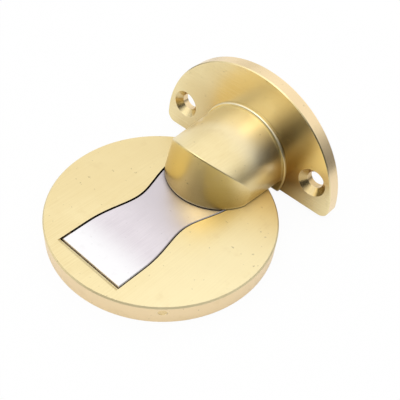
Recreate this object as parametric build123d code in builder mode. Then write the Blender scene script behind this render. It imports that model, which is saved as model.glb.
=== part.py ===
# Concealed magnetic door stop: a floor disc with a hinged steel catch flap, and a door plate
# whose magnetic boss rests on the flap.
# Millimetres. Origin on the floor at the disc's centre, +Z up, the door on the +Y side.

from build123d import *
from math import cos, radians, tan
import os

os.makedirs("parts", exist_ok=True)

# Floor disc
disc_radius = 32.5
disc_height = 6.0
disc_edge_chamfer = 0.4
disc_foot_chamfer = 0.3
floor_screw_radius = 2.25
floor_screw_head_radius = 4.0
floor_screw_front = -9.0
floor_screw_back = 15.0
pocket_ramp_width = 0.8
pocket_ramp_depth = 0.35

# Catch flap, an hourglass plate that lies in the disc's pocket and swings up about the hinge pin
flap_thickness = 3.4
flap_sink = 0.1
flap_side_gap = 0.45
flap_end_gap = 0.15
flap_under_gap = 0.3
flap_edge_chamfer = 0.2
tail_half_width = 10.9
tail_radius = 3.5
shoulder_reach = 5.4
waist_half_width = 8.5
waist_y = -0.5
head_half_width = 12.6
head_round_rise = 7.5
head_rim_margin = 5.0
upright_gap = 0.4

# Hinge pin, driven in from the disc's rim and dressed off there
hinge_rim_margin = 9.6
pin_radius = 0.9
pin_press_clearance = 0.01
pin_running_clearance = 0.05
pin_seat_length = 4.5
pin_end_recess = 0.05

# Door plate, a half disc standing just behind the floor disc
plate_gap = 2.5
plate_radius = 32.2
plate_thickness = 3.9
plate_centre_rise = 2.1
plate_corner_radius = 3.0
plate_edge_chamfer = 0.25
door_screw_radius = 2.65
door_screw_head_radius = 4.5
door_screw_half_pitch = 24.8
door_screw_rise = 9.9
countersink_angle = 90.0

# Magnet boss, a half round that tapers forward to a drafted, rounded nose
boss_air_gap = 0.2
boss_underside_rise = 5.0
boss_axis_rise = 1.0
boss_root_radius = 15.5
boss_taper_angle = 2.6
nose_setback = 12.3
nose_draft_angle = 10.0
nose_margin = 0.3
crease_round = 0.5
collar_overhang = 0.8
collar_thickness = 0.9
collar_round = 0.5

# Magnet, a disc let into the boss's underside
magnet_radius = 9.0
magnet_thickness = 5.0
magnet_setback = 15.0
magnet_recess = 0.2
magnet_clearance = 0.05

# Boss screws, two countersunk machine screws from the back of the door plate
boss_screw_radius = 2.0
boss_screw_head_radius = 3.9
boss_screw_length = 12.0
boss_screw_half_pitch = 6.0
boss_screw_rise = 10.5
boss_screw_sink = 0.1
boss_screw_hole_clearance = 0.2
boss_screw_thread_clearance = 0.02
boss_screw_tip_gap = 1.0
socket_radius = 1.45
socket_depth = 1.2

# Levels and stations that follow from the sizes above
flap_top = disc_height - flap_sink
flap_bottom = flap_top - flap_thickness
pocket_floor = flap_bottom - flap_under_gap
hinge_y = hinge_rim_margin - disc_radius
hinge_z = flap_top - flap_thickness / 2
shoulder_y = hinge_y + shoulder_reach
head_y = disc_radius - head_rim_margin - head_round_rise
pocket_half_width = tail_half_width + flap_side_gap
pocket_end_y = hinge_y - tail_radius - flap_end_gap
window_front_y = hinge_y + flap_thickness / 2 + upright_gap
pin_bore_start = -pocket_half_width - pin_seat_length
plate_front = disc_radius + plate_gap
plate_back = plate_front + plate_thickness
boss_underside = disc_height + boss_air_gap
plate_bottom = boss_underside - boss_underside_rise
plate_centre_z = plate_bottom + plate_centre_rise
door_screw_z = plate_bottom + door_screw_rise
boss_axis_z = boss_underside + boss_axis_rise
nose_y = plate_front - nose_setback
boss_radius_at_nose = boss_root_radius - nose_setback * tan(radians(boss_taper_angle))
nose_radius = boss_radius_at_nose / cos(radians(nose_draft_angle)) + nose_margin
collar_radius = boss_root_radius + collar_overhang
magnet_y = plate_front - magnet_setback
boss_screw_z = boss_underside + boss_screw_rise
boss_screw_head_height = (boss_screw_head_radius - boss_screw_radius) / tan(radians(countersink_angle / 2))
plate_face = Plane.XZ.offset(-plate_front)
plate_rear = Plane(origin=(0, plate_back, 0), x_dir=(-1, 0, 0), z_dir=(0, 1, 0))


def hourglass(grow):
    """The flap's outline from the pocket's end on, with its sides and its head moved outwards by grow."""
    tail_half = tail_half_width + grow
    waist_half = waist_half_width + grow
    head_half = head_half_width + grow
    with BuildLine() as outline:
        Polyline((0, pocket_end_y), (tail_half, pocket_end_y), (tail_half, shoulder_y))
        Spline(
            (tail_half, shoulder_y),
            (waist_half, waist_y),
            (head_half, head_y),
            tangents=[(0, 1), (0, 1)],
        )
        ThreePointArc(
            (head_half, head_y),
            (0, head_y + head_round_rise + grow),
            (-head_half, head_y),
        )
        Spline(
            (-head_half, head_y),
            (-waist_half, waist_y),
            (-tail_half, shoulder_y),
            tangents=[(0, -1), (0, -1)],
        )
        Polyline((-tail_half, shoulder_y), (-tail_half, pocket_end_y), (0, pocket_end_y))
    return outline.line


# Floor disc with its pocket, hinge window, pin bore and hidden floor screw holes
with BuildPart() as floor_disc:
    with BuildSketch():
        Circle(disc_radius)
    extrude(amount=disc_height)
    chamfer(floor_disc.edges().sort_by(Axis.Z)[-1], disc_edge_chamfer)
    chamfer(floor_disc.edges().sort_by(Axis.Z)[0], disc_foot_chamfer)
    with BuildSketch(Plane.XY.offset(pocket_floor)):
        add(hourglass(flap_side_gap))
        make_face()
    extrude(amount=disc_height - pocket_floor, mode=Mode.SUBTRACT)
    with BuildSketch():
        with Locations((0, (pocket_end_y + window_front_y) / 2)):
            Rectangle(2 * pocket_half_width, window_front_y - pocket_end_y)
    extrude(amount=disc_height, mode=Mode.SUBTRACT)
    with BuildSketch(Plane.YZ):
        with BuildLine():
            Polyline(
                (pocket_end_y - pocket_ramp_width, disc_height),
                (pocket_end_y, disc_height),
                (pocket_end_y, disc_height - pocket_ramp_depth),
                close=True,
            )
        make_face()
    extrude(amount=pocket_half_width, both=True, mode=Mode.SUBTRACT)
    with BuildSketch(Plane.YZ.offset(pin_bore_start)):
        with Locations((hinge_y, hinge_z)):
            Circle(pin_radius + pin_press_clearance)
    extrude(amount=disc_radius - pin_bore_start, mode=Mode.SUBTRACT)
    with Locations((0, floor_screw_front, pocket_floor), (0, floor_screw_back, pocket_floor)):
        CounterSinkHole(floor_screw_radius, floor_screw_head_radius, pocket_floor, countersink_angle)
floor_disc.part.label = "floor_disc"
export_step(floor_disc.part, "parts/floor_disc.step")

# Catch flap with its pin bore and a tail rounded about the pin to turn close by the pocket's end
with BuildPart() as catch_flap:
    with BuildSketch(Plane.XY.offset(flap_bottom)):
        add(hourglass(0))
        make_face()
    extrude(amount=flap_thickness)
    with BuildSketch(Plane.YZ):
        with Locations((hinge_y, hinge_z)):
            Circle(tail_radius)
            Rectangle(2 * disc_radius, flap_thickness, align=(Align.MIN, Align.CENTER))
    extrude(amount=disc_radius, both=True, mode=Mode.INTERSECT)
    chamfer(catch_flap.faces().sort_by(Axis.Z)[-1].edges().sort_by(Axis.Y)[1:], flap_edge_chamfer)
    with BuildSketch(Plane.YZ):
        with Locations((hinge_y, hinge_z)):
            Circle(pin_radius + pin_running_clearance)
    extrude(amount=head_half_width, both=True, mode=Mode.SUBTRACT)
catch_flap.part.label = "catch_flap"
export_step(catch_flap.part, "parts/catch_flap.step")

# Hinge pin through the flap's tail, seated in the disc on both sides
with BuildPart() as hinge_pin:
    with BuildSketch(Plane.YZ.offset(pin_bore_start)):
        with Locations((hinge_y, hinge_z)):
            Circle(pin_radius)
    extrude(amount=disc_radius - pin_bore_start)
    Cylinder(
        disc_radius - pin_end_recess,
        disc_height,
        align=(Align.CENTER, Align.CENTER, Align.MIN),
        mode=Mode.INTERSECT,
    )
hinge_pin.part.label = "hinge_pin"
export_step(hinge_pin.part, "parts/hinge_pin.step")

# Door plate with countersunk door screw holes in front and boss screw holes from behind
with BuildPart() as door_plate:
    with BuildSketch(plate_face) as plate_outline:
        with Locations((0, plate_centre_z)):
            Circle(plate_radius)
        with Locations((0, plate_bottom)):
            Rectangle(
                2 * plate_radius,
                2 * plate_radius,
                align=(Align.CENTER, Align.MAX),
                mode=Mode.SUBTRACT,
            )
        fillet(plate_outline.vertices(), plate_corner_radius)
    extrude(amount=-plate_thickness)
    chamfer(door_plate.faces().sort_by(Axis.Y)[0].edges(), plate_edge_chamfer)
    with Locations(plate_face):
        with Locations((-door_screw_half_pitch, door_screw_z), (door_screw_half_pitch, door_screw_z)):
            CounterSinkHole(door_screw_radius, door_screw_head_radius, plate_thickness, countersink_angle)
    with Locations(plate_rear):
        with Locations((-boss_screw_half_pitch, boss_screw_z), (boss_screw_half_pitch, boss_screw_z)):
            CounterSinkHole(
                boss_screw_radius + boss_screw_hole_clearance,
                boss_screw_head_radius + boss_screw_hole_clearance,
                plate_thickness,
                countersink_angle,
            )
door_plate.part.label = "door_plate"
export_step(door_plate.part, "parts/door_plate.step")

# The space that the nose leaves for the boss: a drafted round in front and everything behind it
boss_height = boss_axis_rise + boss_root_radius
with BuildPart() as nose_envelope:
    with Locations((0, nose_y, boss_underside)):
        Cone(
            nose_radius,
            nose_radius - boss_height * tan(radians(nose_draft_angle)),
            boss_height,
            align=(Align.CENTER, Align.CENTER, Align.MIN),
        )
        Box(
            4 * boss_root_radius,
            nose_setback,
            boss_height,
            align=(Align.CENTER, Align.MIN, Align.MIN),
        )

# Magnet boss, turned about its axis, flat underneath, with a round collar on the plate
boss_reach = nose_setback + nose_radius
boss_front_radius = boss_root_radius - boss_reach * tan(radians(boss_taper_angle))
with BuildPart() as magnet_boss:
    with BuildSketch(Plane.YZ):
        with BuildLine():
            Polyline(
                (plate_front, boss_axis_z),
                (plate_front, boss_axis_z + boss_root_radius),
                (plate_front - boss_reach, boss_axis_z + boss_front_radius),
                (plate_front - boss_reach, boss_axis_z),
                close=True,
            )
        make_face()
    revolve(axis=Axis((0, plate_front, boss_axis_z), (0, 1, 0)))
    split(bisect_by=Plane.XY.offset(boss_underside), keep=Keep.TOP)
    add(nose_envelope.part, mode=Mode.INTERSECT)
    crease = magnet_boss.edges().filter_by(GeomType.BSPLINE)
    fillet(crease, crease_round)
    with BuildSketch(plate_face):
        with Locations((0, boss_axis_z)):
            Circle(collar_radius)
        with Locations((0, plate_bottom)):
            Rectangle(
                2 * collar_radius,
                2 * collar_radius,
                align=(Align.CENTER, Align.MAX),
                mode=Mode.SUBTRACT,
            )
    extrude(amount=collar_thickness)
    collar_front = magnet_boss.faces().filter_by(Axis.Y).sort_by(Axis.Y)[0]
    fillet(collar_front.edges().filter_by(GeomType.CIRCLE).sort_by(SortBy.RADIUS)[-1], collar_round)
    with BuildSketch(Plane.XY.offset(boss_underside)):
        with Locations((0, magnet_y)):
            Circle(magnet_radius + magnet_clearance)
    extrude(amount=magnet_recess + magnet_thickness, mode=Mode.SUBTRACT)
    with BuildSketch(plate_face):
        with Locations((-boss_screw_half_pitch, boss_screw_z), (boss_screw_half_pitch, boss_screw_z)):
            Circle(boss_screw_radius + boss_screw_thread_clearance)
    extrude(amount=boss_screw_length - plate_thickness + boss_screw_tip_gap, mode=Mode.SUBTRACT)
magnet_boss.part.label = "magnet_boss"
export_step(magnet_boss.part, "parts/magnet_boss.step")

# Magnet
with BuildPart() as magnet:
    with BuildSketch(Plane.XY.offset(boss_underside + magnet_recess)):
        with Locations((0, magnet_y)):
            Circle(magnet_radius)
    extrude(amount=magnet_thickness)
magnet.part.label = "magnet"
export_step(magnet.part, "parts/magnet.step")

# Boss screws
with BuildPart() as boss_screws:
    for side in (-1, 1):
        screw_axis = Plane(
            origin=(side * boss_screw_half_pitch, plate_back - boss_screw_sink, boss_screw_z),
            x_dir=(0, 0, 1),
            z_dir=(1, 0, 0),
        )
        with BuildSketch(screw_axis):
            with BuildLine():
                Polyline(
                    (0, 0),
                    (boss_screw_head_radius, 0),
                    (boss_screw_radius, boss_screw_head_height),
                    (boss_screw_radius, boss_screw_length),
                    (0, boss_screw_length),
                    close=True,
                )
            make_face()
        revolve(axis=Axis(screw_axis.origin, (0, 1, 0)))
    with BuildSketch(Plane(origin=(0, plate_back - boss_screw_sink, 0), x_dir=(-1, 0, 0), z_dir=(0, 1, 0))):
        with Locations((-boss_screw_half_pitch, boss_screw_z), (boss_screw_half_pitch, boss_screw_z)):
            RegularPolygon(socket_radius, 6)
    extrude(amount=-socket_depth, mode=Mode.SUBTRACT)
boss_screws.part.label = "boss_screws"
export_step(boss_screws.part, "parts/boss_screws.step")
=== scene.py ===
from math import cos, radians, sin

import bpy
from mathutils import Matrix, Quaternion, Vector

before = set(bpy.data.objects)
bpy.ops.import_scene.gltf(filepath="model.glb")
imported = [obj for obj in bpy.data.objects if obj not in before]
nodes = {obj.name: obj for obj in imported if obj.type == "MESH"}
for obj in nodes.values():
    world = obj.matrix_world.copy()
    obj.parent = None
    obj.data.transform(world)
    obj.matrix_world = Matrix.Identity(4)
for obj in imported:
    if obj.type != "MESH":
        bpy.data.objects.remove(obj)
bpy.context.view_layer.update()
scene = bpy.context.scene
scene.view_settings.view_transform = "Standard"
print("frame loaded with", len(nodes), "pieces")


class Shade:  # one socket of a node tree, so that shader maths reads as plain sums
    def __init__(self, tree, socket=None):
        self.tree = tree
        self.socket = socket

    def node(self, kind, settings=None, values=None, out=0):  # a value is plain or another Shade
        made = self.tree.nodes.new(kind)
        for name, value in (settings or {}).items():
            setattr(made, name, value)
        for name, value in (values or {}).items():
            if isinstance(value, Shade):
                self.tree.links.new(value.socket, made.inputs[name])
            else:
                made.inputs[name].default_value = value
        return Shade(self.tree, made.outputs[out])

    def maths(self, operation, first, second=0.0):
        return self.node("ShaderNodeMath", {"operation": operation}, {0: first, 1: second})

    def __add__(self, other):
        return self.maths("ADD", self, other)

    def __radd__(self, other):
        return self.maths("ADD", other, self)

    def __sub__(self, other):
        return self.maths("SUBTRACT", self, other)

    def __rsub__(self, other):
        return self.maths("SUBTRACT", other, self)

    def __mul__(self, other):
        return self.maths("MULTIPLY", self, other)

    def __rmul__(self, other):
        return self.maths("MULTIPLY", other, self)

    def __truediv__(self, other):
        return self.maths("DIVIDE", self, other)

    def __rtruediv__(self, other):
        return self.maths("DIVIDE", other, self)

    def __neg__(self):
        return self.maths("SUBTRACT", 0.0, self)

    def __abs__(self):
        return self.maths("ABSOLUTE", self)


# What all the metals share: a reach or a width is in metres, a band runs between two shares
metal = {
    "lineDetail": 4.0,
    "lineBreakup": 0.62,
    "cloudDetail": 3.0,
    "noiseMean": 0.5,
    "toneBand": (0.3, 0.7),
    "markBand": (0.58, 0.78),
    "speckBand": (0.69, 0.75),
    "edgeBand": (0.86, 0.995),  # how alike the rounded and the flat normal are
    "rays": 6,  # samples of the edge and corner masks
    "openGapBand": (0.928, 0.965),  # painted shade and dirt are lighter at the wide gap by the flap's hinge end
    "openGapShare": 0.75,
}


def feed(shader, **values):  # links finished values to the shader's sockets
    for name, value in values.items():
        value.tree.links.new(value.socket, shader.inputs[name.replace("_", " ")])


def smoothBand(value, band):  # 0 below the band, 1 above it
    low, high = band
    return value.node(
        "ShaderNodeMapRange",
        {"interpolation_type": "SMOOTHSTEP"},
        {"Value": value, "From Min": low, "From Max": high},
    )


def choose(share, inside, outside):  # the share is a mask or a number
    return inside * share + outside * (1 - share)


def parts(vector):  # x, y and z of a vector
    outputs = vector.node("ShaderNodeSeparateXYZ", values={0: vector}).socket.node.outputs
    return [Shade(vector.tree, outputs[axis]) for axis in "XYZ"]


def alikeness(first, second):  # 1 for two directions that agree
    product = {"operation": "DOT_PRODUCT"}
    return first.node("ShaderNodeVectorMath", product, {0: first, 1: second}, "Value")


def radiusOf(across, up):  # distance from an axis along y, out of the offsets in x and z
    offset = across.node("ShaderNodeCombineXYZ", values={"X": across, "Z": up})
    return offset.node("ShaderNodeVectorMath", {"operation": "LENGTH"}, {0: offset}, "Value")


def streaks(place, stretch):  # fine brush lines, long along the axes with a small stretch
    drawn = place.node("ShaderNodeVectorMath", {"operation": "MULTIPLY"}, {0: place, 1: stretch})
    return drawn.node(
        "ShaderNodeTexNoise",
        values={
            "Vector": drawn,
            "Scale": 1.0,
            "Detail": metal["lineDetail"],
            "Roughness": metal["lineBreakup"],
        },
    )


def clouds(place, scale):  # broad soft patches
    values = {"Vector": place, "Scale": scale, "Detail": metal["cloudDetail"]}
    return place.node("ShaderNodeTexNoise", values=values)


def blendColours(factor, first, second):
    first, second = [end if isinstance(end, Shade) else (*end, 1.0) for end in (first, second)]
    values = {"Factor": factor, 6: first, 7: second}  # 6 and 7 are the colour inputs A and B
    return factor.node("ShaderNodeMix", {"data_type": "RGBA"}, values, 2)


def roundedNormal(at, radius, rays):  # the normal as if the edges were rounded off
    return at.node("ShaderNodeBevel", {"samples": rays}, {"Radius": radius})


def edgeMask(at, radius):  # 1 along the sharp edges, where handling polishes the metal; the edge colour is partly a painted highlight
    flat = at.node("ShaderNodeNewGeometry", out="Normal")
    rounded = roundedNormal(at, radius, metal["rays"])
    return 1 - smoothBand(alikeness(rounded, flat), metal["edgeBand"])


def openness(at, reach, rays, local=False):  # 1 in the open, less beside surfaces within reach
    settings = {"samples": rays, "only_local": local}
    return at.node("ShaderNodeAmbientOcclusion", settings, {"Distance": reach}, "AO")


def closedIn(at, reach, band, local=False):  # 1 deep in a corner, a gap or a hole
    return 1 - smoothBand(openness(at, reach, metal["rays"], local), band)


def span(name):  # lowest and highest corner of a piece, in the part's own frame
    axes = list(zip(*nodes[name].bound_box))
    return [Vector(pick(axis) for axis in axes) for pick in (min, max)]


def within(name, axis, place):  # 0 at a piece's low end along an axis, 1 at its high end
    low, high = [corner[axis] for corner in span(name)]
    return (parts(place)[axis] - low) / (high - low)


def gapShadeAndDirt(place, look):  # painted shade, with some dirt, in the narrow gaps
    openGap = smoothBand(1 - within("catch_flap", 1, place), metal["openGapBand"])
    shadeAndDirt = closedIn(place, look["gapShadeReach"], look["gapShadeBand"]) * look["gapShadeShare"]
    return shadeAndDirt * (1 - openGap * metal["openGapShare"])


def metalFinish(name, look, brushing, tint=None, extraShade=None):  # brushed, handled and a little dirty, with painted shade in the gaps
    material = bpy.data.materials.new(name)
    material.use_nodes = True
    shader = material.node_tree.nodes["Principled BSDF"]
    shader.inputs["Metallic"].default_value = 1.0
    at = Shade(material.node_tree)
    place = at.node("ShaderNodeTexCoord", out="Object")
    facing = parts(at.node("ShaderNodeTexCoord", out="Normal"))

    lines = brushing(place, facing)
    patches = clouds(place, look["patchScale"])
    marks = smoothBand(clouds(place, look["markScale"]), metal["markBand"])
    specks = smoothBand(clouds(place, look["speckScale"]), metal["speckBand"])
    edge = edgeMask(at, look["edgeWidth"])
    shadeAndDirt = gapShadeAndDirt(place, look)
    # the flap adds painted shade along its right gap
    if extraShade:
        shadeAndDirt = at.maths("MAXIMUM", shadeAndDirt, extraShade(place, facing))

    tone = smoothBand(choose(look["lineShare"], lines, patches), metal["toneBand"])
    colour = blendColours(tone, look["deep"], look["pale"])
    if tint:
        colour = tint(place, facing, colour)
    colour = blendColours(marks * look["markShare"], colour, look["dull"])
    colour = blendColours(specks * look["speckShare"], colour, look["gapShadeAndSpecks"])
    # edge colour: handling wear, and a painted highlight, strongest on the boss
    colour = blendColours(edge * look["edgeShare"], colour, look["rubbedAndHighlight"])
    # painted shade in the gaps, with a little dirt
    colour = blendColours(shadeAndDirt, colour, look["gapShadeAndSpecks"])

    rough = look["roughness"] + (lines - metal["noiseMean"]) * look["lineRoughness"]
    rough = rough + (patches - metal["noiseMean"]) * look["patchRoughness"]
    rough = rough + marks * look["markRoughness"] - edge * look["edgePolish"]
    depth = {"Strength": 1.0, "Distance": look["relief"], "Height": lines}
    feed(shader, Base_Color=colour, Roughness=rough, Normal=at.node("ShaderNodeBump", values=depth))
    return material


def dress(name, material):
    nodes[name].material_slots[0].material = material
    print("dressed", name)


# Satin gold plating, which the floor disc, the door plate and the boss share
goldLook = {
    "pale": (0.90, 0.77, 0.45),
    "deep": (0.81, 0.66, 0.35),
    "dull": (0.72, 0.57, 0.30),
    "rubbedAndHighlight": (0.95, 0.83, 0.54),
    "rim": (0.905, 0.72, 0.445),
    "rimBand": (0.2, 0.6),  # how squarely a surface faces along an axis
    "faceBand": (0.4, 0.8),
    # a dark colour for painted shade in the gaps and for random specks
    "gapShadeAndSpecks": (0.10, 0.07, 0.03),
    "gapShadeReach": 0.0012,
    "gapShadeBand": (0.05, 0.6),
    "gapShadeShare": 0.85,
    "patchScale": 95.0,
    "markScale": 210.0,
    "speckScale": 900.0,
    "lineShare": 0.55,
    "markShare": 0.25,
    "speckShare": 0.35,
    "edgeShare": 0.5,
    "edgeWidth": 0.0004,
    "roughness": 0.26,
    "lineRoughness": 0.12,
    "patchRoughness": 0.03,
    "markRoughness": 0.03,
    "edgePolish": 0.06,
    "relief": 0.000004,
    "across": 4200.0,  # streaks per metre across the brushing
    "along": 55.0,
}

# Floor disc
discLook = dict(
    goldLook,
    roughness=0.38,
    cream=(0.95, 0.84, 0.53),
    unevenShare=0.6,
    leftBand=(0.592, 0.838),  # across and along the disc
    backBand=(0.162, 0.438),
    rightBand=(0.562, 0.869),
)


def discBrushing(place, facing):  # straight along the flap on top, turned round the rim
    across, along = discLook["across"], discLook["along"]
    top = smoothBand(facing[2], discLook["faceBand"])
    straight = streaks(place, (across, along, across))
    turned = streaks(place, (along, along, across))
    return choose(top, straight, turned)


def discTint(place, facing, colour):  # paler to the right, deeper at the back left, a rosier rim
    x, y = [within("floor_disc", axis, place) for axis in (0, 1)]
    backLeft = smoothBand(1 - x, discLook["leftBand"]) * smoothBand(y, discLook["backBand"])
    right = smoothBand(x, discLook["rightBand"])
    rim = 1 - smoothBand(abs(facing[2]), discLook["rimBand"])
    colour = blendColours(backLeft * discLook["unevenShare"], colour, discLook["deep"])
    colour = blendColours(right * discLook["unevenShare"], colour, discLook["cream"])
    return blendColours(rim, colour, discLook["rim"])


dress("floor_disc", metalFinish("disc_satin_gold", discLook, discBrushing, discTint))

# Door plate
plateLook = dict(
    goldLook,
    roughness=0.25,
    corner=(0.40, 0.24, 0.06),  # painted shade round the boss's foot and in the holes
    footShadeBand=(1.0, 1.982),  # in radii of the boss's foot
    footShadeShare=0.3,
    rightBand=(0.368, 0.982),
    rightShadeShare=0.6,
    holeShadeReach=0.004,
    holeShadeBand=(0.4, 0.9),
    holeShadeShare=0.7,
)


def plateBrushing(place, facing):  # along the straight edge on both faces, round the rim
    across, along = plateLook["across"], plateLook["along"]
    face = smoothBand(abs(facing[1]), plateLook["faceBand"])
    straight = streaks(place, (along, across, across))
    turned = streaks(place, (along, across, along))
    return choose(face, straight, turned)


def plateTint(place, facing, colour):  # the same rim, painted shade round the boss's foot and in the holes
    low, high = span("magnet_boss")
    footRadius = (high.x - low.x) / 2
    x, _, z = parts(place)
    across, up = x / footRadius, (z - (high.z - footRadius)) / footRadius
    footShade = 1 - smoothBand(radiusOf(across, up), plateLook["footShadeBand"])
    right = smoothBand(across, plateLook["rightBand"])  # the painted shade is darkest on the foot's right
    footShade = footShade * (plateLook["footShadeShare"] + right * plateLook["rightShadeShare"])
    holeShade = closedIn(place, plateLook["holeShadeReach"], plateLook["holeShadeBand"], local=True)
    rim = 1 - smoothBand(abs(facing[1]), plateLook["rimBand"])
    colour = blendColours(rim, colour, plateLook["rim"])
    colour = blendColours(footShade, colour, plateLook["corner"])
    return blendColours(holeShade * plateLook["holeShadeShare"], colour, plateLook["corner"])


dress("door_plate", metalFinish("plate_satin_gold", plateLook, plateBrushing, plateTint))

# Magnet boss
bossLook = dict(
    goldLook,
    roughness=0.31,
    # a wider, stronger edge colour: a painted highlight along the crease and the collar
    edgeWidth=0.0009,
    edgeShare=0.8,
    # painted shade low down, where the boss closes in on the plate and the flap
    corner=(0.42, 0.27, 0.07),
    cornerShadeReach=0.012,
    cornerShadeBand=(0.45, 0.95),
    cornerShadeShare=0.8,
    lowBand=(0.395, 0.753),  # up the boss
    # painted shade on the nose, which faces the front
    nose=(0.75, 0.58, 0.21),
    noseBand=(0.35, 0.7),
    noseShadeShare=0.8,
    # a painted highlight on the top by the collar
    topHighlight=(0.99, 0.92, 0.70),
    topHighlightBand=(0.388, 0.856),  # along the boss
    topBand=(0.1, 0.6),
    topHighlightShare=0.9,
)


def bossBrushing(place, facing):  # along the boss on its top, round it on the nose
    across, along = bossLook["across"], bossLook["along"]
    nose = smoothBand(-facing[1], bossLook["noseBand"])
    lengthwise = streaks(place, (across, along, across))
    turned = streaks(place, (along, along, across))
    return choose(nose, turned, lengthwise)


def bossTint(place, facing, colour):  # painted shade on the nose, a painted highlight on top by the collar, painted shade low down
    y, z = [within("magnet_boss", axis, place) for axis in (1, 2)]
    nose = smoothBand(-facing[1], bossLook["noseBand"])
    topHighlight = smoothBand(y, bossLook["topHighlightBand"]) * smoothBand(facing[2], bossLook["topBand"])
    low = 1 - smoothBand(z, bossLook["lowBand"])
    corner = closedIn(place, bossLook["cornerShadeReach"], bossLook["cornerShadeBand"]) * low
    colour = blendColours(nose * bossLook["noseShadeShare"], colour, bossLook["nose"])
    colour = blendColours(topHighlight * bossLook["topHighlightShare"], colour, bossLook["topHighlight"])
    return blendColours(corner * bossLook["cornerShadeShare"], colour, bossLook["corner"])


dress("magnet_boss", metalFinish("boss_satin_gold", bossLook, bossBrushing, bossTint))

# Brushed steel of the flap
flapLook = {
    "pale": (0.785, 0.730, 0.765),
    "deep": (0.665, 0.612, 0.645),
    "dull": (0.60, 0.56, 0.585),
    "rubbedAndHighlight": (0.86, 0.83, 0.85),
    # a dark colour for painted shade in the gaps and for random specks
    "gapShadeAndSpecks": (0.03, 0.026, 0.022),
    "gapShadeReach": 0.002,
    "gapShadeBand": (0.3, 0.95),
    "gapShadeShare": 0.95,
    "patchScale": 130.0,
    "markScale": 420.0,
    "speckScale": 1100.0,
    "lineShare": 0.7,
    "markShare": 0.12,
    "speckShare": 0.15,
    "edgeShare": 0.5,
    "edgeWidth": 0.0003,
    "roughness": 0.34,
    "lineRoughness": 0.14,
    "patchRoughness": 0.06,
    "markRoughness": 0.05,
    "edgePolish": 0.05,
    "relief": 0.000005,
    "across": 5200.0,
    "along": 110.0,
    "scratchAcross": 13520.0,
    "scratchAlong": 330.0,
    "scratchShare": 0.4,
    # painted highlight by the hinge and painted shade from the waist
    "hingeHighlight": (0.905, 0.895, 0.905),
    "hingeHighlightBand": (0.733, 0.937),  # along the flap, from its head to its hinge
    "waistShade": (0.625, 0.575, 0.605),
    "waistShadeBand": (0.267, 0.564),  # and from its hinge to its head
    "rosy": (0.80, 0.765, 0.83),
    "rosyBand": (0.453, 0.601),
    "rosySideBand": (0.421, 0.738),  # across the flap
    "gapReach": 0.0005,
    "gapRays": 8,
    "gapBand": (0.2, 0.5),
    "topBand": (0.5, 0.9),
}


def flapBrushing(place, facing):  # lengthwise, with a few finer scratches over it
    across, along = flapLook["across"], flapLook["along"]
    coarse = streaks(place, (across, along, across))
    scratches = streaks(place, (flapLook["scratchAcross"], flapLook["scratchAlong"], across))
    return choose(flapLook["scratchShare"], scratches, coarse)


def flapTint(place, facing, colour):  # painted highlight by the hinge, painted shade from the waist, rosy on the right
    x, y = [within("catch_flap", axis, place) for axis in (0, 1)]
    waistShade = smoothBand(y, flapLook["waistShadeBand"])
    rosy = smoothBand(x, flapLook["rosySideBand"]) * smoothBand(y, flapLook["rosyBand"])
    hingeHighlight = smoothBand(1 - y, flapLook["hingeHighlightBand"])
    colour = blendColours(waistShade, colour, flapLook["waistShade"])
    colour = blendColours(rosy, colour, flapLook["rosy"])
    return blendColours(hingeHighlight, colour, flapLook["hingeHighlight"])


def flapGapShade(place, facing):  # painted shade along the top's right edge, where the gap is darkest
    rounded = roundedNormal(place, flapLook["gapReach"], flapLook["gapRays"])
    right = smoothBand(parts(rounded)[0], flapLook["gapBand"])
    return right * smoothBand(facing[2], flapLook["topBand"])


dress("catch_flap", metalFinish("flap_brushed_steel", flapLook, flapBrushing, flapTint, flapGapShade))

# Drawn brass of the hinge pin
pinLook = dict(
    goldLook,
    pale=(0.84, 0.66, 0.35),
    deep=(0.74, 0.55, 0.27),
    relief=0.000003,
    edgeWidth=0.0002,
)


def pinBrushing(place, facing):  # drawn along the pin
    return streaks(place, (pinLook["along"], pinLook["across"], pinLook["across"]))


dress("hinge_pin", metalFinish("pin_drawn_brass", pinLook, pinBrushing))

# Nickel plating of the magnet
magnetLook = dict(
    flapLook,
    pale=(0.74, 0.715, 0.665),
    deep=(0.66, 0.635, 0.585),
    dull=(0.52, 0.50, 0.47),
    roughness=0.22,
    relief=0.000002,
    lineShare=0.35,
    across=1800.0,
)


def magnetBrushing(place, facing):  # a fine even grain
    return streaks(place, (magnetLook["across"],) * 3)


dress("magnet", metalFinish("magnet_nickel", magnetLook, magnetBrushing))

# Zinc plating of the boss screws
screwLook = dict(
    flapLook,
    pale=(0.70, 0.715, 0.74),
    deep=(0.58, 0.595, 0.62),
    dull=(0.46, 0.46, 0.47),
    roughness=0.28,
)


def screwBrushing(place, facing):  # turned rings about each screw's axis
    low, high = span("boss_screws")
    headRadius = (high.z - low.z) / 2
    x, _, z = parts(place)
    radius = radiusOf(abs(x) - (high.x - headRadius), z - (high.z + low.z) / 2)
    rings = {"W": radius * screwLook["across"], "Scale": 1.0}
    return radius.node("ShaderNodeTexNoise", {"noise_dimensions": "1D"}, rings)


dress("boss_screws", metalFinish("screw_zinc", screwLook, screwBrushing))

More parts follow.
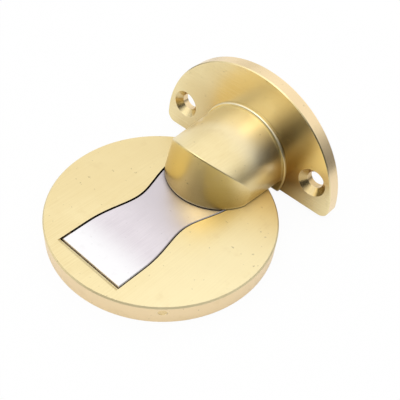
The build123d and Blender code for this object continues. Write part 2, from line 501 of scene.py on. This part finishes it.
# Paper floor in a white light tent
studio = {
    "floorRadius": 0.15,
    "floorSides": 96,
    "paper": (0.9, 0.9, 0.9),
    "whiteSeen": 0.95,  # share of plain white that the camera sees in the paper
    "whiteMirrored": 0.6,  # and that the metal shows of it, less where the object closes it in
    "shadeReach": 0.03,
    "shadeBand": (0.3, 0.75),
    "shadeRays": 8,
    "wall": 1.13,
    "hem": 0.3,  # the cloth is darker towards the floor
    "hemBand": (0.0, 0.7),
    "patches": (  # azimuth, elevation, inner and outer spread in degrees, brightness
        (-90, 10, 12, 35, 0.06),  # the opening at the front, which goes on round the right
        (-56, 10, 14, 37, 0.05),
        (-22, 10, 12, 35, 0.08),
        (10, 5, 8, 26, 0.2),
        (-105, 64, 6, 26, 2.6),  # the lamp above the front, through the cloth
        (-132, 44, 8, 28, 1.35),  # a weaker one on the left
        (62, 34, 5, 20, 1.12),  # pale cloth at the back right
        (-150, 6, 8, 26, 0.95),  # and low on the left, in front and behind
        (146, 6, 10, 28, 1.0),
    ),
}


def grey(level):
    return (level, level, level)


def paperFinish():  # matt paper, mostly plain white to the camera and partly in the metal
    material = bpy.data.materials.new("floor_paper")
    material.use_nodes = True
    tree = material.node_tree
    at = Shade(tree)
    rays = at.node("ShaderNodeLightPath").socket.node.outputs
    kinds = ("Is Camera Ray", "Is Glossy Ray", "Is Transmission Ray")
    seen, glossy, through = [Shade(tree, rays[kind]) for kind in kinds]
    shade = openness(at, studio["shadeReach"], studio["shadeRays"])
    mirrored = smoothBand(shade, studio["shadeBand"]) * studio["whiteMirrored"]
    share = seen * studio["whiteSeen"] + (glossy + through) * mirrored
    matt = at.node("ShaderNodeBsdfDiffuse", values={"Color": (*studio["paper"], 1.0)})
    white = at.node("ShaderNodeEmission", values={"Strength": 1.0})
    mixed = at.node("ShaderNodeMixShader", values={0: share, 1: matt, 2: white})
    tree.links.new(mixed.socket, tree.nodes["Material Output"].inputs["Surface"])
    return material


def makeFloor():
    bpy.ops.mesh.primitive_circle_add(
        vertices=studio["floorSides"], radius=studio["floorRadius"], fill_type="NGON"
    )
    bpy.context.object.name = "studio_floor"
    bpy.context.object.data.materials.append(paperFinish())


def direction(azimuth, elevation):
    turn, rise = radians(azimuth), radians(elevation)
    return Vector((cos(rise) * cos(turn), cos(rise) * sin(turn), sin(rise)))


def makeTent():  # white cloth with brighter and darker patches, plain white to the camera
    world = bpy.data.worlds.new("light_tent")
    world.use_nodes = True
    at = Shade(world.node_tree)
    towards = at.node("ShaderNodeTexCoord", out="Generated")
    height = smoothBand(parts(towards)[2], studio["hemBand"])
    cloth = blendColours(height, grey(studio["hem"]), grey(studio["wall"]))
    for azimuth, elevation, inner, outer, brightness in studio["patches"]:
        nearness = alikeness(towards, direction(azimuth, elevation))
        patch = smoothBand(nearness, (cos(radians(outer)), cos(radians(inner))))
        cloth = blendColours(patch, cloth, grey(brightness))
    seen = at.node("ShaderNodeLightPath", out="Is Camera Ray")
    background = world.node_tree.nodes["Background"]
    background.inputs["Strength"].default_value = 1.0
    feed(background, Color=blendColours(seen, cloth, grey(1.0)))
    scene.world = world


makeFloor()
makeTent()
print("light tent set up with", len(studio["patches"]), "patches")

# Camera at the photograph's viewing angle
view = {
    "place": (0.08095, -0.08644, 0.13087),
    "aim": (0.00685, 0.00750, 0.01000),
    "roll": 6.04,  # degrees
    "lens": 55.79,  # millimetres, as the sensor
    "sensor": 36.0,
    "nearest": 0.01,
}


def makeCamera():
    camera = bpy.data.objects.new("camera", bpy.data.cameras.new("camera"))
    scene.collection.objects.link(camera)
    camera.data.sensor_width = view["sensor"]
    camera.data.lens = view["lens"]
    camera.data.clip_start = view["nearest"]
    camera.location = view["place"]
    look = Vector(view["aim"]) - Vector(view["place"])
    roll = Quaternion((0, 0, 1), radians(view["roll"]))
    camera.rotation_mode = "QUATERNION"
    camera.rotation_quaternion = look.to_track_quat("-Z", "Y") @ roll
    scene.camera = camera


makeCamera()
